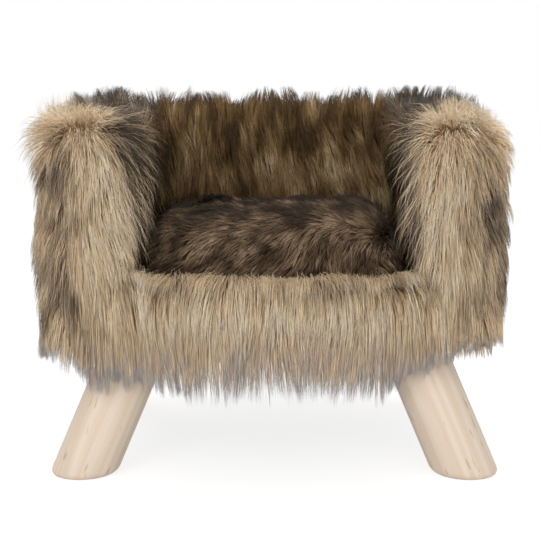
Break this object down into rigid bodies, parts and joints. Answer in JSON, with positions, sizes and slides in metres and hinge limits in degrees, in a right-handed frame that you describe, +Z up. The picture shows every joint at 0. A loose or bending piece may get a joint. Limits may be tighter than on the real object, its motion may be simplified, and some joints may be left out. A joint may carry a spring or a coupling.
{
  "type": "cat bed",
  "caption": "Small fur-covered box sofa for a cat, with equal arms and back, a low front rail, a loose fur cushion that lifts out, and splayed round wooden legs.",
  "frame": {"origin": "centre of the bed's footprint, on the floor that the legs stand on", "axes": "+X to the right as seen from the front, +Y towards the back, +Z up; the seat opens towards -Y and +Z"},
  "size_m": [0.4572, 0.37, 0.363],
  "materials": {
    "beige_fur": "matte",
    "brown_fur": "matte",
    "cushion_fur": "matte",
    "leg_pine": "satin",
    "plywood": "matte",
    "pine_block": "matte",
    "wedge_wood": "matte",
    "foam": "matte",
    "fibre": "matte",
    "deck_cloth": "matte",
    "dust_cloth": "matte",
    "zip_tape": "matte",
    "zinc_steel": "satin"
  },
  "bodies": {
    "bed_frame": {"base_board": "plywood", "left_side_panel": "plywood", "right_side_panel": "plywood", "back_panel": "plywood", "front_panel": "plywood", "front_left_corner_block": "pine_block", "front_right_corner_block": "pine_block", "rear_left_corner_block": "pine_block", "rear_right_corner_block": "pine_block", "panel_screws": "zinc_steel", "left_arm_foam": "foam", "right_arm_foam": "foam", "back_foam": "foam", "front_foam": "foam", "left_arm_cover": "beige_fur", "right_arm_cover": "beige_fur", "back_cover": "brown_fur", "front_cover": "beige_fur", "seat_deck_cloth": "deck_cloth", "dust_cover": "dust_cloth", "staples": "zinc_steel", "front_left_wedge": "wedge_wood", "front_right_wedge": "wedge_wood", "rear_left_wedge": "wedge_wood", "rear_right_wedge": "wedge_wood", "wedge_screws": "zinc_steel", "leg_inserts": "zinc_steel", "hanger_bolts": "zinc_steel", "front_left_leg": "leg_pine", "front_right_leg": "leg_pine", "rear_left_leg": "leg_pine", "rear_right_leg": "leg_pine"},
    "cushion": {"cushion_cover": "cushion_fur", "cushion_filling": "fibre", "cushion_base_panel": "deck_cloth", "cushion_zip": "zip_tape"},
    "zip_slider": {"zip_slider": "zinc_steel"}
  },
  "joints": [
    {"name": "cushion_lift", "type": "slide", "parent": "bed_frame", "child": "cushion", "axis": [0, 0, 1], "range_m": [0, 0.25]},
    {"name": "zip_slide", "type": "slide", "parent": "cushion", "child": "zip_slider", "axis": [1, 0, 0], "range_m": [0, 0.158]}
  ]
}
